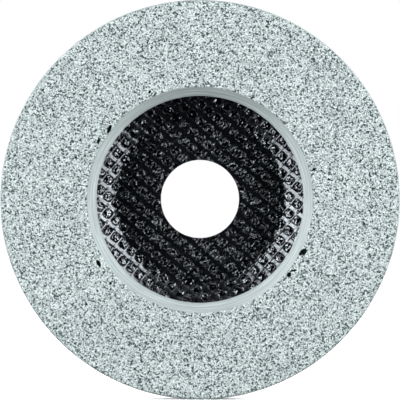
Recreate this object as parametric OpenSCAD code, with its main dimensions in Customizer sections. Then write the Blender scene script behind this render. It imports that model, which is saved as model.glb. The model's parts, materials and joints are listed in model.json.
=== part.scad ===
// Elastic fine-grinding disc for an angle grinder.
// A cast abrasive ring is bonded to a dished, mesh-reinforced backing plate.
// The disc turns about Y. Its working face looks along -Y, and the machine
// side looks along +Y. The origin is on the axis, where the machine's flange seats.

/* [Disc] */
// Outside diameter of the abrasive ring
disc_d = 113.5; // [112:0.5:125]
// Spindle bore diameter
bore_d = 22.4; // [22.2:0.05:22.6]

/* [Backing plate] */
// Outside diameter of the backing plate
plate_d = 108; // [100:0.5:108.5]
// Thickness of one pressed mesh ply
ply_t = 0.6; // [0.4:0.05:0.8]
// Diameter where the flat hub bends up into the cone
hub_flat_d = 47.4; // [46:0.2:52]
// Diameter where the cone bends out into the flat flange
cone_d = 62; // [62:0.2:68]
// How far the flange stands in front of the hub
hub_drop = 4; // [3:0.1:5]
// Radius of the two bends of the dish
bend_r = 3; // [1:0.5:3.5]
// Diameter of the small ply that stiffens the hub
hub_ply_d = 72; // [72:1:90]

/* [Abrasive ring] */
// Thickness of the ring over the flange
ring_t = 7; // [5:0.5:12]
// Diameter of the recess where its wall meets the plate
wall_foot_d = 59.2; // [58.8:0.1:59.8]
// Diameter of the recess at the working face
wall_mouth_d = 63.8; // [62:0.1:70]
// Rounding of the recess lip
lip_r = 0.6; // [0.2:0.1:1]
// Rounding of the rim at the working face and at the back
rim_r = 0.8; // [0.3:0.1:1.5]

/* [Bond and label] */
// Thickness of the adhesive between ring and plate
bond_t = 0.2; // [0.1:0.05:0.5]
// Diameter of the paper label
label_d = 44; // [40:1:44]
// Thickness of the paper label
label_t = 0.15; // [0.1:0.05:0.2]

/* [Hidden] */

$fn = 180;
// Straight steps along each rounded bend
arc_steps = 6;
// Full-size plies pressed into the plate
full_plies = 4;

bore_r = bore_d / 2;
plate_r = plate_d / 2;
hub_flat_r = hub_flat_d / 2;
cone_r = cone_d / 2;
foot_r = wall_foot_d / 2;
mouth_r = wall_mouth_d / 2;
disc_r = disc_d / 2;

cone_slope = atan(hub_drop / (cone_r - hub_flat_r));
bend_reach = bend_r * tan(cone_slope / 2);

// Heights above the machine's flange, measured towards the working face.
hub_ply_base = label_t;
plate_base = hub_ply_base + ply_t;
hub_front = plate_base + full_plies * ply_t;
bond_top = hub_front + hub_drop + bond_t;
face_height = bond_top + ring_t;

black_resin = [0.10, 0.10, 0.11];
black_mesh = [0.16, 0.17, 0.18];
dark_adhesive = [0.05, 0.05, 0.05];
grey_green = [0.70, 0.76, 0.74];
plain_paper = [0.88, 0.87, 0.83];

// Points [radius, height] of a rounded bend, from one angle to another.
function bend(centre, radius, from, to) = [
    for (step = [0 : arc_steps])
        let (angle = from + (to - from) * step / arc_steps)
        centre + radius * [cos(angle), sin(angle)]
];

// The bend from the flat hub up into the cone.
function inner_bend() = bend(
    [hub_flat_r - bend_reach, bend_r], bend_r, -90, cone_slope - 90);

// The bend from the cone out into the flat flange.
function outer_bend() = bend(
    [cone_r + bend_reach, hub_drop - bend_r], bend_r, cone_slope + 90, 90);

// The dish from the bore out to a given radius on the flange.
function dish(rim) = concat(
    [[bore_r, 0]],
    inner_bend(),
    outer_bend(),
    [[rim, hub_drop]]
);

// The outer part of the dish, which the ring and its adhesive cover.
function covered_dish(rim) = concat(
    [[foot_r, lookup(foot_r, dish(rim))]],
    [for (point = outer_bend()) if (point[0] > foot_r) point],
    [[rim, hub_drop]]
);

function raised(points, height) = [for (point = points) point + [0, height]];

function reversed(points) = [
    for (i = [len(points) - 1 : -1 : 0]) points[i]
];

// Turns a profile of [radius, height] points about the disc's axis.
module turned(points) {
    rotate([90, 0, 0])
        rotate_extrude()
            polygon(points);
}

// A layer of even thickness that follows a line of the dish.
module layer(points, base, thickness) {
    turned(concat(
        raised(points, base),
        reversed(raised(points, base + thickness))
    ));
}

// One full-size ply, counted from the machine side.
module full_ply(index) {
    layer(dish(plate_r), plate_base + index * ply_t, ply_t);
}

module label_disc() {
    color(plain_paper)
        layer([[bore_r, 0], [label_d / 2, 0]], 0, label_t);
}

module hub_mesh_ply() {
    color(black_mesh)
        layer(dish(hub_ply_d / 2), hub_ply_base, ply_t);
}

module back_mesh_ply() {
    color(black_mesh)
        full_ply(0);
}

module rear_core_ply() {
    color(black_resin)
        full_ply(1);
}

module front_core_ply() {
    color(black_resin)
        full_ply(2);
}

module front_mesh_ply() {
    color(black_mesh)
        full_ply(3);
}

module bond_layer() {
    color(dark_adhesive)
        layer(covered_dish(plate_r), hub_front, bond_t);
}

module abrasive_ring() {
    color(grey_green)
        turned(concat(
            raised(covered_dish(plate_r), hub_front + bond_t),
            bend([disc_r - rim_r, bond_top + rim_r], rim_r, -90, 0),
            bend([disc_r - rim_r, face_height - rim_r], rim_r, 0, 90),
            bend([mouth_r + lip_r, face_height - lip_r], lip_r, 90, 180)
        ));
}

label_disc();
hub_mesh_ply();
back_mesh_ply();
rear_core_ply();
front_core_ply();
front_mesh_ply();
bond_layer();
abrasive_ring();
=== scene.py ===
# %% [markdown]
# # A fine-grinding disc for an angle grinder
# The disc is a thick ring of abrasive grain in an elastic bond, glued to a dished black plate.
# The plate is pressed from plies of open glass mesh soaked in resin.
# The sizes are already settled in the frame, so this lesson only gives each piece its real surface.
# We start by loading the frame.

# %% Load the frame
import bpy
import json
import math
import random
import numpy as np
from mathutils import Matrix, Vector


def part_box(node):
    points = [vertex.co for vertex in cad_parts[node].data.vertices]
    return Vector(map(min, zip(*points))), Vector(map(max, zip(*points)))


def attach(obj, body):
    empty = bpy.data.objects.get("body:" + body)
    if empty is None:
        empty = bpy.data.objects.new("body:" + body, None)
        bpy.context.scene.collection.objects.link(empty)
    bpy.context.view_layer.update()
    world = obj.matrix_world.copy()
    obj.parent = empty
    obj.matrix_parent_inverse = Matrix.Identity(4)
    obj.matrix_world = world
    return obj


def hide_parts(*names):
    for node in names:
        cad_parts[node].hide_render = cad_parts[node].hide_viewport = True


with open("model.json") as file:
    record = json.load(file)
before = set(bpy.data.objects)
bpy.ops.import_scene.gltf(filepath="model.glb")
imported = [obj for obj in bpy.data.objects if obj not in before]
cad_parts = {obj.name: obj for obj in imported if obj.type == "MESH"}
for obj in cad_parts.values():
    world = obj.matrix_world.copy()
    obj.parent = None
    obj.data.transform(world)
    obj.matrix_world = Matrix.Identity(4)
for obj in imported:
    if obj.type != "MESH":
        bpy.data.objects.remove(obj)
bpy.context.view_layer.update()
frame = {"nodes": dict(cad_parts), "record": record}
MM = 0.001
FRONT = -1
BACK = 1
print("nodes in the frame:", sorted(frame["nodes"]))

# %% [markdown]
# Sizes are never typed in twice. The disc turns about the Y axis, so every vertex of a frame node has a
# radius from that axis and a depth along it. The largest and smallest of those are the sizes we need.

# %% Read the sizes from the frame
def radii_and_depths(node):
    """Distance from the disc's axis and depth along it, for each vertex of a node."""
    mesh = frame["nodes"][node].data
    places = np.empty(len(mesh.vertices) * 3)
    mesh.vertices.foreach_get("co", places)
    places = places.reshape(-1, 3)
    return np.hypot(places[:, 0], places[:, 2]), places[:, 1]


def skin_of(node, side):
    """Radii and depths along the front or back skin of a pressed ply."""
    radii, depths = radii_and_depths(node)
    steps = np.unique(radii.round(5))
    outermost = np.max if side == BACK else np.min
    same = 0.02 * MM
    return steps, np.array([outermost(depths[abs(radii - step) < same]) for step in steps])


ring_radii, ring_depths = radii_and_depths("abrasive_ring")
rim_radius = ring_radii.max()
foot_radius = ring_radii.min()
foot_depth = ring_depths.max()
face_depth = ring_depths.min()
mouth_radius = ring_radii[ring_depths < face_depth + 0.01 * MM].min()
ring_back = ring_depths[ring_radii > 0.9 * rim_radius].max()
bore_radius = frame["record"]["mounts"][0]["dims"]["r_mm"] * MM
plate_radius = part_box("front_mesh_ply")[1].x
hub_ply_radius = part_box("hub_mesh_ply")[1].x
label_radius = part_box("label_disc")[1].x
print("rim", rim_radius, "foot", foot_radius, foot_depth, "mouth", mouth_radius, "face", face_depth)

# %% [markdown]
# An operator acts on everything that is selected, and a freshly loaded frame is selected all over.
# These helpers put that right: they clear the selection, take up one piece, and choose vertices or edges
# by a rule about their place, as you would with a box or circle select.

# %% Helpers for picking things up
def nothing_selected():
    if bpy.context.object and bpy.context.object.mode != "OBJECT":
        bpy.ops.object.mode_set(mode="OBJECT")
    bpy.ops.object.select_all(action="DESELECT")


def take_up(piece):
    nothing_selected()
    piece.select_set(True)
    bpy.context.view_layer.objects.active = piece


def places_of(piece):
    flat = np.empty(len(piece.data.vertices) * 3)
    piece.data.vertices.foreach_get("co", flat)
    return flat.reshape(-1, 3)


def put_places(piece, places):
    piece.data.vertices.foreach_set("co", np.ascontiguousarray(places).ravel())
    piece.data.update()


def radius_of(places):
    return np.hypot(places[:, 0], places[:, 2])


def edit(piece, parts, chosen):
    """Opens a piece in edit mode with only the chosen vertices or edges selected."""
    take_up(piece)
    mesh = piece.data
    vertices = np.zeros(len(mesh.vertices), bool)
    edges = np.zeros(len(mesh.edges), bool)
    if parts == "EDGE":
        edges[:] = chosen
        ends = np.empty(len(mesh.edges) * 2, int)
        mesh.edges.foreach_get("vertices", ends)
        vertices[ends.reshape(-1, 2)[edges].ravel()] = True
    else:
        vertices[:] = chosen
    mesh.polygons.foreach_set("select", np.zeros(len(mesh.polygons), bool))
    mesh.edges.foreach_set("select", edges)
    mesh.vertices.foreach_set("select", vertices)
    bpy.ops.object.mode_set(mode="EDIT")
    bpy.ops.mesh.select_mode(type=parts)


def finished_editing():
    bpy.ops.object.mode_set(mode="OBJECT")


def apply_modifier(piece, kind, **settings):
    """Adds a modifier to a piece, sets it up and applies it."""
    take_up(piece)
    modifier = piece.modifiers.new(kind.lower(), kind)
    for name, value in settings.items():
        setattr(modifier, name, value)
    bpy.ops.object.modifier_apply(modifier=modifier.name)


def count_triangles(piece):
    piece.data.calc_loop_triangles()
    return len(piece.data.loop_triangles)


# %% [markdown]
# The ring is a body of revolution, and a lathe is the natural way to make one. Its outline is drawn as a
# chain of vertices, extruded one step at a time, and the chain is then spun round the axis.
# The working face gets many close steps, because the grain is going to be raised out of them.

# %% A lathe
def turn(name, outline, steps):
    """Spins a closed outline of (radius, depth) points round the disc's axis."""
    nothing_selected()
    bpy.ops.mesh.primitive_plane_add(size=MM)
    piece = bpy.context.object
    piece.name = name
    bpy.ops.object.mode_set(mode="EDIT")
    bpy.ops.mesh.merge(type="CENTER")
    bpy.ops.transform.translate(value=(outline[0][0], outline[0][1], 0.0))
    here = outline[0]
    for there in outline[1:] + outline[:1]:
        move = (there[0] - here[0], there[1] - here[1], 0.0)
        bpy.ops.mesh.extrude_vertices_move(TRANSFORM_OT_translate={"value": move})
        here = there
    bpy.ops.mesh.select_all(action="SELECT")
    bpy.ops.mesh.remove_doubles(threshold=0.01 * MM)
    finished_editing()
    apply_modifier(
        piece, "SCREW", axis="Y", angle=math.tau, steps=steps, render_steps=steps,
        use_merge_vertices=True, merge_threshold=0.01 * MM,
    )
    edit(piece, "VERT", np.ones(len(piece.data.vertices), bool))
    bpy.ops.mesh.normals_make_consistent(inside=False)
    finished_editing()
    return piece


def stretch(start, end, step):
    """Evenly spaced points from start up to, and not including, end."""
    length = math.dist(start, end)
    count = max(1, round(length / step))
    return [
        tuple(a + (b - a) * i / count for a, b in zip(start, end)) for i in range(count)
    ]


def quarter(centre, radius, from_angle, to_angle, count):
    """Points along a rounded edge, from one angle to another, without the last."""
    angles = [
        math.radians(from_angle + (to_angle - from_angle) * i / count) for i in range(count)
    ]
    return [
        (centre[0] + radius * math.cos(a), centre[1] + radius * math.sin(a)) for a in angles
    ]


# %% [markdown]
# The outline runs up the outside, over the rounded rim, across the face towards the axis, round the lip
# and down the wall of the recess to its foot. The wall looks as if it was cast against a turned plug: it
# carries fine turning marks, a few hundredths of a millimetre deep, and one small step.

# %% Turn the abrasive ring
rim_round = 0.8 * MM
lip_round = 0.6 * MM
grain_step = 0.37 * MM
wall_step = 0.3 * MM
back_step = 4 * MM
wall_top = (mouth_radius - lip_round, face_depth + lip_round)
plug_step = 4.6 * MM


def plug_marks(point):
    """Moves a point of the wall by the depth of the turning marks in the plug."""
    along = (point[1] - face_depth) / MM
    mark = 0.03 * math.sin(along * 4.1) + 0.02 * math.sin(along * 9.7 + 1.0)
    step = -0.07 if along * MM > plug_step else 0.05
    return (point[0] + (mark + step) * MM, point[1])


wall = [plug_marks(p) for p in stretch(wall_top, (foot_radius, foot_depth), wall_step)[1:]]
ring_outline = (
    stretch((rim_radius, ring_back - rim_round), (rim_radius, face_depth + rim_round), MM)
    + quarter((rim_radius - rim_round, face_depth + rim_round), rim_round, 0, -90, 5)
    + stretch((rim_radius - rim_round, face_depth), (mouth_radius, face_depth), grain_step)
    + quarter((mouth_radius, face_depth + lip_round), lip_round, 270, 180, 5)
    + [wall_top]
    + wall
    + stretch((foot_radius, foot_depth), (mouth_radius, ring_back), MM)
    + stretch((mouth_radius, ring_back), (rim_radius - rim_round, ring_back), back_step)
    + quarter((rim_radius - rim_round, ring_back - rim_round), rim_round, 90, 0, 4)
)
ring = turn("grinding_ring", ring_outline, steps=760)
print("ring outline points", len(ring_outline), "triangles", count_triangles(ring))

# %% [markdown]
# The face is not smooth: it was dressed after casting, which leaves the grain standing proud and small
# hollows where grain fell out. One Displace modifier makes that, held to the face by a vertex group, and a
# second with slow waves makes the whole casting slightly uneven.
# The group's weights are also kept as a colour attribute, so the finish knows where the open grain ends.

# %% Raise the grain
def noise_texture(name, size, depth=2):
    texture = bpy.data.textures.new(name, "CLOUDS")
    texture.noise_scale = size
    texture.noise_depth = depth
    return texture


def vertex_mask(piece, name, weights):
    """Keeps a weight for each vertex, both as a vertex group and as a colour attribute."""
    group = piece.vertex_groups.new(name=f"{name}_hold")
    for weight in np.unique(weights):
        members = np.nonzero(weights == weight)[0].tolist()
        group.add(members, float(weight), "REPLACE")
    attribute = piece.data.color_attributes.new(name=name, type="FLOAT_COLOR", domain="POINT")
    attribute.data.foreach_set("color", np.repeat(weights, 4).astype(np.float32))
    return group


ring_places = places_of(ring)
fade = 0.35 * MM
open_face = np.clip((face_depth + fade - ring_places[:, 1]) / fade, 0, 1)
vertex_mask(ring, "open_grain", open_face.round(1))
apply_modifier(
    ring, "DISPLACE", texture=noise_texture("grain", 0.75 * MM), texture_coords="LOCAL",
    vertex_group="open_grain_hold", strength=0.20 * MM, mid_level=0.56,
)
apply_modifier(
    ring, "DISPLACE", texture=noise_texture("unevenness", 4 * MM), texture_coords="LOCAL",
    strength=0.10 * MM, mid_level=0.5,
)
print("grain raised on", int((open_face > 0).sum()), "of", len(open_face), "vertices")

# %% [markdown]
# Air trapped in the mould leaves voids. Most of the dozen large, drawn-out ones sit close to the recess,
# where the mix had to flow round the plug, and many small ones are scattered over the face.
# Each is a lumpy ball, and one Boolean takes them all out of the ring, so the holes are real.
# The ball's own material comes along onto the walls of the hole, and paints them dark as painted shade.

# %% Cut the voids
def plain_material(name):
    material = bpy.data.materials.new(name)
    material.use_nodes = True
    return material


grain_finish = plain_material("open_bonded_grain")
# The void walls' material paints the shade inside each hole.
void_shade_finish = plain_material("shaded_void_wall")
ring.data.materials.append(grain_finish)

# Angle round the disc, distance from the axis, length, width and lean of each large void.
large_voids = [
    (142, 32.7, 2.8, 1.1, 68),
    (150, 33.2, 1.9, 0.8, 80),
    (115, 33.8, 1.2, 0.7, 80),
    (63, 32.5, 1.0, 0.6, 20),
    (15, 33.5, 1.1, 0.7, 42),
    (9, 37.0, 1.0, 0.6, 5),
    (333, 32.7, 2.7, 1.6, 34),
    (320, 33.0, 1.5, 1.2, 62),
    (323, 33.3, 2.0, 0.6, 10),
    (212, 34.0, 2.1, 1.1, 118),
    (223, 34.8, 0.9, 0.7, 50),
    (145, 54.4, 1.1, 0.5, 30),
]
chance = random.Random(20)
small_void_count = 240
small_voids = [
    (
        chance.uniform(0, 360),
        math.sqrt(chance.uniform((mouth_radius / MM + 0.5) ** 2, (rim_radius / MM - 1) ** 2)),
        chance.uniform(0.45, 0.85),
        chance.uniform(0.35, 0.55),
        chance.uniform(0, 180),
    )
    for _ in range(small_void_count)
]


def void_ball(index, angle, distance, length, width, lean, detail):
    """A lumpy ball at the face, where a void is going to be."""
    nothing_selected()
    turned = math.radians(angle)
    reach = distance * MM
    place = (reach * math.cos(turned), face_depth, reach * math.sin(turned))
    bpy.ops.mesh.primitive_ico_sphere_add(subdivisions=detail, radius=0.5 * MM, location=place)
    ball = bpy.context.object
    ball.name = f"void_{index}"
    ball.scale = (length, 0.9 * width + 0.5, width)
    ball.rotation_euler = (0, -math.radians(lean), 0)
    bpy.ops.object.transform_apply(location=True, rotation=True, scale=True)
    ball.data.materials.append(void_shade_finish)
    return ball


balls = [void_ball(i, *v, detail=3) for i, v in enumerate(large_voids)]
balls += [void_ball(100 + i, *v, detail=1) for i, v in enumerate(small_voids)]
nothing_selected()
for ball in balls:
    ball.select_set(True)
bpy.context.view_layer.objects.active = balls[0]
bpy.ops.object.join()
cutter = bpy.context.object
apply_modifier(
    cutter, "DISPLACE", texture=noise_texture("void_lumps", 0.6 * MM), texture_coords="LOCAL",
    strength=0.5 * MM, mid_level=0.5,
)
apply_modifier(
    ring, "BOOLEAN", object=cutter, operation="DIFFERENCE", solver="MANIFOLD",
    material_mode="TRANSFER",
)
bpy.data.objects.remove(cutter)
print("ring with voids", count_triangles(ring), "triangles", len(ring.data.materials), "materials")

# %% [markdown]
# The plate's skins show the weave of the outermost glass mesh. Flat bands of glass run one way, thinner
# twisted pairs run the other, and the square window between them is filled with resin to a lower level.
# One window is modelled from a grid, with half a strand along each side, and two Array modifiers repeat it.

# %% Model one window of the mesh
pair_pitch = 3.02 * MM
band_pitch = 3.72 * MM
weave_angle = -40.5
weave_shift = (-0.69 * MM, 0.29 * MM)
window_reach = 1.22 * MM
window_depth = 0.45 * MM
resin_crown = 0.34 * MM


def mesh_window(columns, rows):
    """One window of the glass mesh, lying flat and facing up."""
    nothing_selected()
    bpy.ops.mesh.primitive_grid_add(x_subdivisions=columns, y_subdivisions=rows, size=1)
    cell = bpy.context.object
    cell.name = "mesh_window"
    cell.scale = (pair_pitch, band_pitch, 1)
    bpy.ops.object.transform_apply(location=False, rotation=False, scale=True)
    places = places_of(cell)
    across, along = abs(places[:, 0]), abs(places[:, 1])
    roundness = 2.6
    window = (across ** roundness + along ** roundness) ** (1 / roundness) < window_reach
    edit(cell, "VERT", window)
    bpy.ops.transform.translate(value=(0, 0, -window_depth))
    bpy.ops.mesh.vertices_smooth(factor=0.35)
    finished_editing()
    edit(cell, "VERT", np.hypot(across, along) < 0.01 * MM)
    bpy.ops.transform.translate(
        value=(0, 0, resin_crown), use_proportional_edit=True,
        proportional_edit_falloff="SPHERE", proportional_size=window_reach,
    )
    finished_editing()
    twisted_pair = (across > window_reach) & (across < pair_pitch / 2 - 0.1 * MM)
    edit(cell, "VERT", twisted_pair)
    bpy.ops.transform.translate(value=(0, 0, 0.07 * MM))
    finished_editing()
    flat_band = along > window_reach + 0.05 * MM
    edit(cell, "VERT", flat_band)
    bpy.ops.transform.translate(value=(0, 0, 0.05 * MM))
    finished_editing()
    vertex_mask(cell, "window", window.astype(float))
    return cell


# %% [markdown]
# A sheet of windows is laid out flat, cut to a ring by removing what lies outside it, and its ragged edges
# are pulled onto true circles. Then it is pressed into the dish: each vertex keeps its height above the
# sheet, and takes the depth of the frame's own ply at its radius.

# %% Weave and press a sheet
def border_edges(piece, outer, limit):
    """The open edges of a sheet that lie outside, or inside, a given radius."""
    mesh = piece.data
    users = np.empty(len(mesh.loops), int)
    mesh.loops.foreach_get("edge_index", users)
    open_edge = np.bincount(users, minlength=len(mesh.edges)) == 1
    ends = np.empty(len(mesh.edges) * 2, int)
    mesh.edges.foreach_get("vertices", ends)
    reach = radius_of(places_of(piece))[ends.reshape(-1, 2)].mean(axis=1)
    return open_edge & ((reach > limit) == outer)


def pull_to_circle(piece, outer, limit, radius):
    """Moves an open border of a sheet onto a circle."""
    chosen = border_edges(piece, outer, limit)
    ends = np.empty(len(piece.data.edges) * 2, int)
    piece.data.edges.foreach_get("vertices", ends)
    border = np.unique(ends.reshape(-1, 2)[chosen].ravel())
    places = places_of(piece)
    reach = radius_of(places[border])
    places[border, 0] *= radius / reach
    places[border, 2] *= radius / reach
    put_places(piece, places)


def woven_sheet(name, inner, outer, side, columns, rows, seed):
    """A flat ring of glass mesh, facing the front or the back."""
    sheet = mesh_window(columns, rows)
    sheet.name = name
    across = 2 * math.ceil(outer / pair_pitch) + 1
    along = 2 * math.ceil(outer / band_pitch) + 1
    weld = dict(fit_type="FIXED_COUNT", use_merge_vertices=True, merge_threshold=0.02 * MM)
    apply_modifier(sheet, "ARRAY", count=across, relative_offset_displace=(1, 0, 0), **weld)
    apply_modifier(sheet, "ARRAY", count=along, relative_offset_displace=(0, 1, 0), **weld)
    places = places_of(sheet)
    places[:, 0] += weave_shift[0] - pair_pitch * (across // 2) + pair_pitch / 2
    places[:, 1] += weave_shift[1] - band_pitch * (along // 2) + band_pitch / 2
    put_places(sheet, places)
    lumps = noise_texture(f"{name}_lumps", (0.55 + 0.01 * seed) * MM)
    drape = noise_texture(f"{name}_drape", (2.6 + 0.1 * seed) * MM)
    apply_modifier(
        sheet, "DISPLACE", texture=lumps, texture_coords="LOCAL", direction="Z",
        vertex_group="window_hold", strength=0.6 * MM, mid_level=0.5,
    )
    apply_modifier(
        sheet, "DISPLACE", texture=drape, texture_coords="LOCAL", direction="Z",
        strength=0.16 * MM, mid_level=0.5,
    )
    take_up(sheet)
    upright = math.radians(-90 * side)
    sheet.rotation_euler = (upright, 0, 0)
    bpy.ops.object.transform_apply(location=False, rotation=True, scale=False)
    sheet.rotation_euler = (0, -math.radians(weave_angle), 0)
    bpy.ops.object.transform_apply(location=False, rotation=True, scale=False)
    reach = radius_of(places_of(sheet))
    edit(sheet, "VERT", (reach < inner) | (reach > outer))
    bpy.ops.mesh.delete(type="VERT")
    finished_editing()
    middle = (inner + outer) / 2
    pull_to_circle(sheet, True, middle, outer)
    pull_to_circle(sheet, False, middle, inner)
    edit(sheet, "VERT", np.ones(len(sheet.data.vertices), bool))
    bpy.ops.mesh.remove_doubles(threshold=0.03 * MM)
    finished_editing()
    return sheet


def press_into_dish(sheet, node, side):
    """Lays a flat sheet on the front or back skin of a ply in the frame."""
    radii, depths = skin_of(node, side)
    places = places_of(sheet)
    places[:, 1] += np.interp(radius_of(places), radii, depths)
    put_places(sheet, places)


# %% [markdown]
# A pressed ply is a solid, not a skin. From the sheet's inner border an edge loop is extruded in to the bore
# and down through it. From the outer border a second loop goes over the rim and back in underneath, along
# the bends of the far side, and the two loops are bridged.

# %% Make a solid ply of a sheet
def grow_border(sheet, outer, limit, path):
    """Extrudes an open border of a sheet through a path of (radius, depth) circles."""
    radius = radius_of(places_of(sheet))
    start = radius.max() if outer else radius.min()
    edit(sheet, "EDGE", border_edges(sheet, outer, limit))
    for reach, depth in path:
        bpy.ops.mesh.extrude_edges_move()
        k = reach / start
        bpy.ops.transform.resize(value=(k, 0, k), center_override=(0, depth, 0))
        start = reach
    finished_editing()


def close_ply(sheet, node, side, inner, outer):
    """Closes a pressed sheet into a solid with the frame ply's rim, underside and bore."""
    far_radii, far_depths = skin_of(node, -side)
    near_radii, near_depths = skin_of(node, side)
    rim = far_radii.max()

    def far(radius):
        return float(np.interp(radius, far_radii, far_depths))

    def near(radius):
        return float(np.interp(radius, near_radii, near_depths))

    middle = (inner + outer) / 2
    nearer = 0.1 * MM
    hidden = [r for r in near_radii[::-2] if bore_radius + nearer < r < inner - nearer]
    bore_path = [(float(r), near(r)) for r in hidden]
    bore_path += [(bore_radius, near(bore_radius))] if inner > bore_radius + nearer else []
    bore_path += [(bore_radius, far(bore_radius))]
    grow_border(sheet, False, middle, bore_path)
    rim_path = [(rim, near(rim))] if rim > outer + nearer else []
    bends = [r for r in far_radii[::-2] if bore_radius + MM < r < rim - nearer]
    rim_path += [(rim, far(rim))] + [(float(r), far(r)) for r in bends]
    grow_border(sheet, True, middle, rim_path)
    edit(sheet, "EDGE", border_edges(sheet, True, 0))
    bpy.ops.mesh.bridge_edge_loops()
    bpy.ops.mesh.select_all(action="SELECT")
    bpy.ops.mesh.normals_make_consistent(inside=False)
    finished_editing()
    open_left = int(border_edges(sheet, True, 0).sum())
    print(sheet.name, count_triangles(sheet), "triangles, open edges left:", open_left)


def mesh_ply(name, node, side, inner, outer, columns, rows, seed):
    sheet = woven_sheet(name, inner, outer, side, columns, rows, seed)
    press_into_dish(sheet, node, side)
    close_ply(sheet, node, side, inner, outer)
    take_up(sheet)
    bpy.ops.object.shade_smooth_by_angle(angle=math.radians(38))
    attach(sheet, "root")
    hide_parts(node)
    return sheet


front_ply = mesh_ply(
    "front_mesh_skin", "front_mesh_ply", FRONT, bore_radius, mouth_radius, 14, 16, seed=0
)

# %% [markdown]
# The machine side shows two more mesh plies: the back of the plate, and the smaller ply that stiffens its
# hub. Each is woven only where it can be seen, and the part under the next piece is left plain.

# %% Weave the two plies of the machine side
tuck = 1.5 * MM
hub_ply = mesh_ply(
    "hub_mesh_skin", "hub_mesh_ply", BACK, label_radius - tuck, hub_ply_radius, 12, 14, seed=3
)
back_ply = mesh_ply(
    "back_mesh_skin", "back_mesh_ply", BACK, hub_ply_radius - tuck, plate_radius, 10, 12, seed=6
)

# %% [markdown]
# Finishes are node graphs on Object coordinates, which are metres here, so a pattern keeps its real size.
# One helper adds a node and wires its inputs, which keeps each finish short enough to read.

# %% Helpers for finishes
def say_made(finish):
    print("finish", finish.name, "made of", len(finish.node_tree.nodes), "nodes")


def add_node(finish, kind, inputs=None, **settings):
    """Adds a shader node. An input given as a socket is linked, and any other is a constant."""
    node = finish.node_tree.nodes.new(f"ShaderNode{kind}")
    for name, value in settings.items():
        setattr(node, name, value)
    for name, value in (inputs or {}).items():
        if isinstance(value, bpy.types.NodeSocket):
            finish.node_tree.links.new(value, node.inputs[name])
        else:
            node.inputs[name].default_value = value
    return node


def maths(finish, operation, first, second=0.0, third=0.0):
    inputs = {0: first, 1: second, 2: third}
    return add_node(finish, "Math", inputs, operation=operation).outputs[0]


def noise(finish, where, size, detail=2.0, roughness=0.5):
    """A soft random pattern with features of about the given size in metres."""
    inputs = {"Vector": where, "Scale": 1 / size, "Detail": detail, "Roughness": roughness}
    return add_node(finish, "TexNoise", inputs).outputs["Fac"]


def spread(finish, value, low, high, to_low=0.0, to_high=1.0, smooth=False):
    """Maps a range of values onto another and clamps it."""
    inputs = {
        "Value": value, "From Min": low, "From Max": high, "To Min": to_low, "To Max": to_high,
    }
    kind = "SMOOTHSTEP" if smooth else "LINEAR"
    return add_node(finish, "MapRange", inputs, interpolation_type=kind).outputs["Result"]


def object_place(finish):
    return add_node(finish, "TexCoord").outputs["Object"]


def tone(red, green, blue):
    """A colour given as it looks on screen, as the linear colour that a shader wants."""
    levels = [c / 255 for c in (red, green, blue)]
    linear = [c / 12.92 if c <= 0.04045 else ((c + 0.055) / 1.055) ** 2.4 for c in levels]
    return (*linear, 1.0)


def ramp(finish, value, stops):
    """A colour ramp from (position, colour) pairs."""
    node = add_node(finish, "ValToRGB", {"Fac": value})
    elements = node.color_ramp.elements
    elements[0].position, elements[0].color = stops[0]
    elements[1].position, elements[1].color = stops[-1]
    for position, colour in stops[1:-1]:
        element = elements.new(position)
        element.color = colour
    return node.outputs["Color"]


def mix(finish, amount, first, second):
    node = add_node(finish, "Mix", {"Factor": amount}, data_type="RGBA")
    for socket, value in ((node.inputs[6], first), (node.inputs[7], second)):
        if isinstance(value, bpy.types.NodeSocket):
            finish.node_tree.links.new(value, socket)
        else:
            socket.default_value = value
    return node.outputs[2]


def bump(finish, height, distance, strength=1.0):
    inputs = {"Height": height, "Distance": distance, "Strength": strength}
    return add_node(finish, "Bump", inputs).outputs["Normal"]


def surface(finish, **inputs):
    """Sets the finish's own shader: sockets are linked, numbers and colours are constants."""
    shader = finish.node_tree.nodes["Principled BSDF"]
    for name, value in inputs.items():
        socket = shader.inputs[name.replace("_", " ").title().replace("Ior", "IOR")]
        if isinstance(value, bpy.types.NodeSocket):
            finish.node_tree.links.new(value, socket)
        else:
            socket.default_value = value


# %% [markdown]
# Bonded abrasive is a crowd of pale, slightly green grains with pores between them. A Voronoi pattern
# gives every grain its own brightness, a fine noise breaks the grains up, and a second, coarser Voronoi
# pattern darkens a pore wherever one of its cells is dark. That darkness is painted shade, for the shade
# inside each pore. One ramp turns the sum into colour, because the painted shade is the same hue.
# The wall and the rim have a smooth skin from the mould, so the open-grain attribute fades between the two.

# %% Finish: bonded abrasive
grain_tones = [
    (0.00, tone(17, 28, 28)),
    (0.20, tone(70, 86, 86)),
    (0.40, tone(128, 142, 143)),
    (0.60, tone(170, 183, 184)),
    (0.80, tone(190, 201, 202)),
    (1.00, tone(232, 243, 243)),
]


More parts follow.
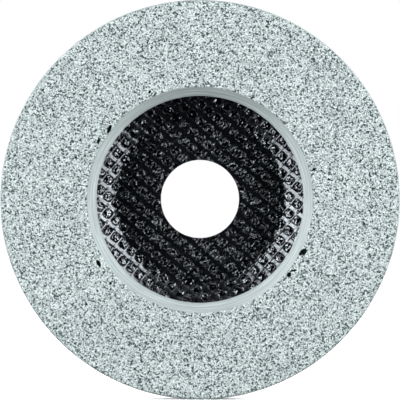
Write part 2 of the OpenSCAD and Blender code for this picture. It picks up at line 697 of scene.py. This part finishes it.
def bonded_abrasive(finish):
    grain_size, pore_size = 0.31 * MM, 0.40 * MM
    place = object_place(finish)
    grains = add_node(finish, "TexVoronoi", {"Vector": place, "Scale": 1 / grain_size})
    grain = add_node(finish, "SeparateColor", {"Color": grains.outputs["Color"]}).outputs["Red"]
    crumbs = noise(finish, place, 0.30 * MM, detail=0.0)
    specks = add_node(finish, "TexVoronoi", {"Vector": place, "Scale": 1 / pore_size})
    speck = add_node(finish, "SeparateColor", {"Color": specks.outputs["Color"]}).outputs["Red"]
    # The dark pores are painted shade, the shade inside each pore laid into the colour; the bump lowers them
    # as well.
    pore_shade = spread(finish, speck, 0.12, 0.34, 0.20, 1.0)
    cloud = noise(finish, place, 16 * MM, detail=2.0)
    level = maths(finish, "MULTIPLY_ADD", grain, 0.50, 0.30)
    level = maths(finish, "MULTIPLY_ADD", crumbs, 1.30, level)
    level = maths(finish, "MULTIPLY_ADD", cloud, 0.10, level)
    level = maths(finish, "SUBTRACT", level, 0.46)
    level = maths(finish, "MULTIPLY", level, pore_shade)
    grainy = ramp(finish, level, grain_tones)

    apart = add_node(finish, "SeparateXYZ", {"Vector": place})
    across = maths(finish, "MULTIPLY", apart.outputs["X"], apart.outputs["X"])
    upward = maths(finish, "MULTIPLY", apart.outputs["Z"], apart.outputs["Z"])
    reach = maths(finish, "SQRT", maths(finish, "ADD", across, upward))
    stretched = add_node(finish, "VectorMath", {0: place, 1: (0.12, 1.0, 0.12)}, operation="MULTIPLY")
    lines = add_node(finish, "CombineXYZ", {"X": reach, "Y": apart.outputs["Y"], "Z": 0.0})
    turned_marks = noise(finish, lines.outputs[0], 0.55 * MM, detail=2.0)
    blotches = noise(finish, stretched.outputs[0], 1.2 * MM, detail=2.0)
    skin_level = maths(finish, "MULTIPLY_ADD", turned_marks, 0.60, 0.33)
    skin_level = maths(finish, "MULTIPLY_ADD", blotches, 0.36, skin_level)
    rim_side = spread(finish, reach, 0.97 * rim_radius, 0.985 * rim_radius)
    worn = maths(finish, "MULTIPLY_ADD", crumbs, 0.9, -0.68)
    skin_level = maths(finish, "MULTIPLY_ADD", rim_side, worn, skin_level)
    skin = ramp(finish, skin_level, grain_tones)

    mask = add_node(finish, "Attribute", attribute_name="open_grain").outputs["Fac"]
    ragged = maths(finish, "MULTIPLY_ADD", crumbs, 0.9, maths(finish, "SUBTRACT", mask, 0.45))
    grained = spread(finish, ragged, 0.42, 0.58, smooth=True)
    height = maths(finish, "MULTIPLY", level, grained)
    surface(
        finish,
        base_color=mix(finish, grained, skin, grainy),
        roughness=spread(finish, grained, 0.0, 1.0, 0.55, 0.9),
        normal=bump(finish, height, 0.30 * MM, strength=0.8),
        specular_ior_level=0.25,
    )


bonded_abrasive(grain_finish)
say_made(grain_finish)

# %% [markdown]
# Inside a void the bond was never dressed, so it is rough. Its near-black colour is painted shade for
# the inside of the hole, and a few paler crumbs stand for grains catching light.

# %% Finish: void walls, with painted shade
def shaded_void_wall(finish):
    place = object_place(finish)
    crumbs = noise(finish, place, 0.3 * MM, detail=2.0)
    # Near-black tones: painted shade inside the hole.
    stops = [(0.35, tone(6, 16, 16)), (0.75, tone(40, 54, 53))]
    surface(
        finish,
        base_color=ramp(finish, crumbs, stops),
        roughness=0.9,
        normal=bump(finish, crumbs, 0.15 * MM),
        specular_ior_level=0.1,
    )


shaded_void_wall(void_shade_finish)
say_made(void_shade_finish)

# %% [markdown]
# The plate is glass mesh drowned in black phenolic resin. The resin is glossy in the windows and a little
# duller over the glass, where fine fibres print through. The fibres run along each band, so the pattern
# is read in two directions turned to the weave. The flat hub glints all over and the cone looks smoother,
# so two values change where the hub ends.

# %% Finish: resin over glass mesh
mesh_finish = plain_material("resin_over_mesh")
skin_radii, skin_depths = skin_of("front_mesh_ply", FRONT)
hub_edge = skin_radii[abs(skin_depths - skin_depths[0]) > 0.15 * MM].min()
print("the flat of the hub ends at", hub_edge)


def resin_over_mesh(finish):
    place = object_place(finish)
    turn_by = math.radians(weave_angle)
    along_band = (math.cos(turn_by), 0, math.sin(turn_by))
    along_pair = (-math.sin(turn_by), 0, math.cos(turn_by))
    u = add_node(finish, "VectorMath", {0: place, 1: along_band}, operation="DOT_PRODUCT")
    v = add_node(finish, "VectorMath", {0: place, 1: along_pair}, operation="DOT_PRODUCT")
    u, v = u.outputs["Value"], v.outputs["Value"]
    fibre, stretch = 0.16 * MM, 0.08
    lengthwise = maths(finish, "MULTIPLY", u, stretch)
    band_fibres = add_node(finish, "CombineXYZ", {"X": lengthwise, "Y": v})
    crosswise = maths(finish, "MULTIPLY", v, stretch)
    pair_fibres = add_node(finish, "CombineXYZ", {"X": u, "Y": crosswise, "Z": 0.01})
    on_band = noise(finish, band_fibres.outputs[0], fibre, detail=2.0)
    on_pair = noise(finish, pair_fibres.outputs[0], fibre, detail=2.0)
    fibres = maths(finish, "MAXIMUM", on_band, on_pair)
    window = add_node(finish, "Attribute", attribute_name="window").outputs["Fac"]
    glass = maths(finish, "SUBTRACT", 1.0, window)
    reach = add_node(finish, "VectorMath", {0: place, 1: (1, 0, 1)}, operation="MULTIPLY")
    reach = add_node(finish, "VectorMath", {0: reach.outputs[0]}, operation="LENGTH").outputs["Value"]
    coarse = spread(finish, reach, hub_edge - MM, hub_edge + MM, 2.2, 0.06)
    rougher = spread(finish, reach, hub_edge - MM, hub_edge + MM, 0.03, 0.15)
    ridges = add_node(finish, "CombineXYZ", {"X": u, "Y": maths(finish, "MULTIPLY", v, 0.35)})
    ridges = noise(finish, ridges.outputs[0], 0.34 * MM, detail=0.0)
    ripple = noise(finish, place, 0.38 * MM, detail=0.0)
    flatter_glass = spread(finish, window, 0.0, 1.0, 0.78, 1.0)
    relief = maths(finish, "MULTIPLY", ridges, maths(finish, "MULTIPLY", coarse, flatter_glass))
    ripple = maths(finish, "MULTIPLY", ripple, maths(finish, "MULTIPLY", window, coarse))
    relief = maths(finish, "MULTIPLY_ADD", ripple, 0.35, relief)
    relief = maths(finish, "MULTIPLY_ADD", maths(finish, "MULTIPLY", fibres, glass), 0.12, relief)
    dust = noise(finish, place, 5 * MM, detail=3.0)
    shade = maths(finish, "MULTIPLY_ADD", dust, 0.5, maths(finish, "MULTIPLY", fibres, 0.5))
    stops = [(0.3, tone(1, 1, 2)), (0.75, tone(19, 19, 25))]
    surface(
        finish,
        base_color=ramp(finish, maths(finish, "MULTIPLY", shade, glass), stops),
        roughness=maths(finish, "MULTIPLY_ADD", glass, rougher, 0.05),
        specular_tint=(0.86, 0.93, 1.0, 1.0),
        normal=bump(finish, relief, 0.10 * MM),
        ior=1.75,
    )


resin_over_mesh(mesh_finish)
for ply in (front_ply, hub_ply, back_ply):
    ply.data.materials.append(mesh_finish)
say_made(mesh_finish)

# %% [markdown]
# Four pieces keep the frame's own shape, because only an edge or a plain face of them shows. They still get
# a real finish. The two core plies show cut glass fibre at the plate's rim and in its bore: thin lines that
# run round the disc, read from the depth and broken up by a coarser noise.

# %% Finish: cut edge of the laminate
def dress(node, finish):
    """Gives one of the frame's own pieces a finish."""
    for slot in frame["nodes"][node].material_slots:
        slot.material = finish


def laminate_edge(finish):
    place = object_place(finish)
    layers = add_node(finish, "VectorMath", {0: place, 1: (0.2, 1, 0.2)}, operation="MULTIPLY")
    fibres = noise(finish, layers.outputs[0], 0.12 * MM, detail=2.0)
    chips = noise(finish, place, 0.9 * MM, detail=2.0)
    shade = maths(finish, "MULTIPLY_ADD", chips, 0.5, maths(finish, "MULTIPLY", fibres, 0.5))
    stops = [(0.35, tone(10, 10, 11)), (0.55, tone(34, 32, 30)), (0.75, tone(92, 90, 80))]
    surface(
        finish,
        base_color=ramp(finish, shade, stops),
        roughness=spread(finish, fibres, 0.3, 0.7, 0.45, 0.75),
        normal=bump(finish, fibres, 0.06 * MM),
    )


edge_finish = plain_material("laminate_edge")
laminate_edge(edge_finish)
dress("rear_core_ply", edge_finish)
dress("front_core_ply", edge_finish)
say_made(edge_finish)

# %% [markdown]
# The ring is glued on with a dark elastic adhesive. Only a bead of it shows, squeezed out at the joint, so it
# is soft looking: a satin black with slow lumps and a few pale crumbs of grain stuck to it.

# %% Finish: adhesive bead
def glue_bead(finish):
    place = object_place(finish)
    lumps = noise(finish, place, 0.8 * MM, detail=2.0)
    crumbs = noise(finish, place, 0.25 * MM, detail=1.0)
    stops = [(0.0, tone(16, 17, 19)), (0.66, tone(30, 32, 34)), (0.74, tone(120, 132, 131))]
    surface(
        finish,
        base_color=ramp(finish, crumbs, stops),
        roughness=spread(finish, crumbs, 0.5, 0.74, 0.38, 0.85),
        normal=bump(finish, lumps, 0.25 * MM),
    )


glue_finish = plain_material("adhesive_bead")
glue_bead(glue_finish)
dress("bond_layer", glue_finish)
say_made(glue_finish)

# %% [markdown]
# The paper disc on the back is blank here, apart from one printed band. Its sheet is off white and faintly
# fibrous, with a soft, uneven grime over it. The band is read from the distance to the axis.

# %% Finish: paper disc
def paper(finish):
    place = object_place(finish)
    flat = add_node(finish, "VectorMath", {0: place, 1: (1, 0, 1)}, operation="MULTIPLY")
    reach = add_node(finish, "VectorMath", {0: flat.outputs[0]}, operation="LENGTH").outputs["Value"]
    pulp = noise(finish, place, 0.35 * MM, detail=3.0)
    grime = noise(finish, place, 4 * MM, detail=3.0)
    sheet_stops = [(0.3, tone(196, 194, 186)), (0.7, tone(232, 231, 225))]
    worn_stops = [(0.35, tone(40, 92, 96)), (0.7, tone(62, 120, 122))]
    outward = spread(finish, reach, 0.80 * label_radius, 0.815 * label_radius)
    inward = spread(finish, reach, 0.94 * label_radius, 0.955 * label_radius, 1.0, 0.0)
    band = maths(finish, "MULTIPLY", outward, inward)
    shade = maths(finish, "MULTIPLY_ADD", grime, 0.6, maths(finish, "MULTIPLY", pulp, 0.4))
    surface(
        finish,
        base_color=mix(finish, band, ramp(finish, shade, sheet_stops), ramp(finish, shade, worn_stops)),
        roughness=spread(finish, pulp, 0.3, 0.7, 0.6, 0.8),
        normal=bump(finish, pulp, 0.04 * MM, strength=0.6),
        specular_ior_level=0.3,
    )


paper_finish = plain_material("printed_paper")
paper(paper_finish)
dress("label_disc", paper_finish)
say_made(paper_finish)

# %% [markdown]
# The ring stands for the frame's ring, and takes its place. It is shaded smooth except at sharp edges, so
# the rounded rim looks round while the lip of each void stays crisp.

# %% Put the ring in its place
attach(ring, "root")
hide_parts("abrasive_ring")
take_up(ring)
bpy.ops.object.shade_smooth_by_angle(angle=math.radians(60))
print(ring.name, "stands for abrasive_ring")

# %% [markdown]
# The camera looks at the working face almost straight on, from a little above the axis. It stands far off
# with a long lens, so the recess is not distorted, and the lens is worked out so that the rim fills the view.

# %% Camera
camera_data = bpy.data.cameras.new("camera")
camera = bpy.data.objects.new("camera", camera_data)
bpy.context.scene.collection.objects.link(camera)
bpy.context.scene.camera = camera
camera_distance = 1.2
camera_data.sensor_width = 36
camera_data.lens = camera_data.sensor_width / 2 * camera_distance / rim_radius
camera_data.clip_start = 0.05
camera_data.clip_end = 20
camera_lift = math.radians(1.3)
camera.location = (
    0,
    face_depth - camera_distance * math.cos(camera_lift),
    camera_distance * math.sin(camera_lift),
)
camera.rotation_euler = (math.radians(90) - camera_lift, 0, 0)
print("lens of", camera_data.lens, "mm at", camera_distance, "m")

# %% [markdown]
# The studio is white all round, and the plate is black and glossy, so a plate left to reflect the whole
# studio would turn grey. The Light Path node tells the rays apart: the camera sees a white backdrop, matt
# surfaces get a soft fill, and reflections find it almost dark.

# %% The white studio
world = bpy.data.worlds.new("studio")
bpy.context.scene.world = world
world.use_nodes = True
fill_level = 0.12
gloss_level = 0.01
rays = add_node(world, "LightPath").outputs
fill = maths(world, "MULTIPLY_ADD", rays["Is Glossy Ray"], gloss_level - fill_level, fill_level)
seen = maths(world, "MAXIMUM", rays["Is Camera Ray"], fill)
backdrop = world.node_tree.nodes["Background"]
backdrop.inputs["Color"].default_value = (1, 1, 1, 1)
world.node_tree.links.new(seen, backdrop.inputs["Strength"])
print("the studio fills with", fill_level, "and shines with", gloss_level)

# %% [markdown]
# The lights stand round the disc's axis, and each is placed by two angles: how far round the axis it is, and
# how far off it. The plate's cone leans by nearly 29 degrees, so it mirrors a light that stands at twice that
# angle off the axis straight to the camera. Four narrow strips there draw the bright arcs in the mesh of the
# cone. Their low angle also makes the grain of the ring stand out, a dim light above evens it out, and two
# more light the machine side.

# %% Softboxes
def round_the_axis(azimuth, off_axis, distance):
    """A place at an angle from the disc's axis, and the direction that runs round the axis there."""
    a, b = math.radians(azimuth), math.radians(off_axis)
    outward = Vector((math.cos(a) * math.sin(b), -math.cos(b), math.sin(a) * math.sin(b)))
    return outward * distance, Vector((-math.sin(a), 0, math.cos(a)))


def softbox(name, place, along, width, length, brightness):
    """A rectangular light of a given radiance that faces the disc, with its length along a direction."""
    data = bpy.data.lights.new(name, "AREA")
    data.shape = "RECTANGLE"
    data.size, data.size_y = width, length
    data.energy = brightness * math.pi * width * length
    lamp = bpy.data.objects.new(name, data)
    bpy.context.scene.collection.objects.link(lamp)
    away = place.normalized()
    turned = Matrix((along.cross(away), along, away)).transposed()
    lamp.matrix_world = Matrix.Translation(place) @ turned.to_4x4()
    lamp.visible_camera = False
    return lamp


low_on_cone, high_on_cone = hub_edge + MM, foot_radius - MM
rise = np.interp([low_on_cone, high_on_cone], skin_radii, skin_depths)
cone_lean = math.degrees(math.atan(abs(rise[1] - rise[0]) / (high_on_cone - low_on_cone)))
print("the cone leans by", cone_lean, "degrees")
lamp_distance = 0.6
strips = [
    ("right_low", -14, 9.2), ("right_high", 28, 11.0), ("left_low", 194, 9.2), ("left_high", 152, 11.4),
]
for name, azimuth, brightness in strips:
    strip_place = round_the_axis(azimuth, 2 * cone_lean, lamp_distance)
    softbox(name, *strip_place, width=0.14, length=0.46, brightness=brightness)
softbox("top", *round_the_axis(90, 75, lamp_distance), width=0.3, length=0.6, brightness=1.2)
rear_distance = 0.8
for name, azimuth in (("rear_right", 30), ("rear_left", 150)):
    rear_place = round_the_axis(azimuth, 125, rear_distance)
    softbox(name, *rear_place, width=0.4, length=0.6, brightness=6.5)

# %% [markdown]
# The disc stands on its rim on a plain white floor. The floor is kept out of reflections and out of the light
# that bounces back, because from below it would wash out the black plate. A sun of its own lights it, and
# light linking makes that sun shine on the floor alone, so the floor is white while the disc is not touched.

# %% Floor
nothing_selected()
bpy.ops.mesh.primitive_plane_add(size=6, location=(0, 0, -rim_radius))
floor = bpy.context.object
floor.name = "floor"
floor_finish = plain_material("floor")
surface(floor_finish, base_color=(0.8, 0.8, 0.8, 1), roughness=0.9, specular_ior_level=0.0)
floor.data.materials.append(floor_finish)
floor.visible_glossy = False
floor.visible_diffuse = False
floor.visible_shadow = False

floor_light = bpy.data.lights.new("floor_light", "SUN")
floor_light.energy = 3.6
floor_light.angle = math.radians(100)
overhead = bpy.data.objects.new("floor_light", floor_light)
bpy.context.scene.collection.objects.link(overhead)
lit = bpy.data.collections.new("lit_by_floor_light")
lit.objects.link(floor)
overhead.light_linking.receiver_collection = lit
print("floor at", floor.location.z, "lit by", overhead.name)

# %% [markdown]
# The Standard view keeps each tone as it was mixed, without a film curve.

# %% Colour view
bpy.context.scene.view_settings.view_transform = "Standard"
bpy.context.scene.view_settings.look = "None"
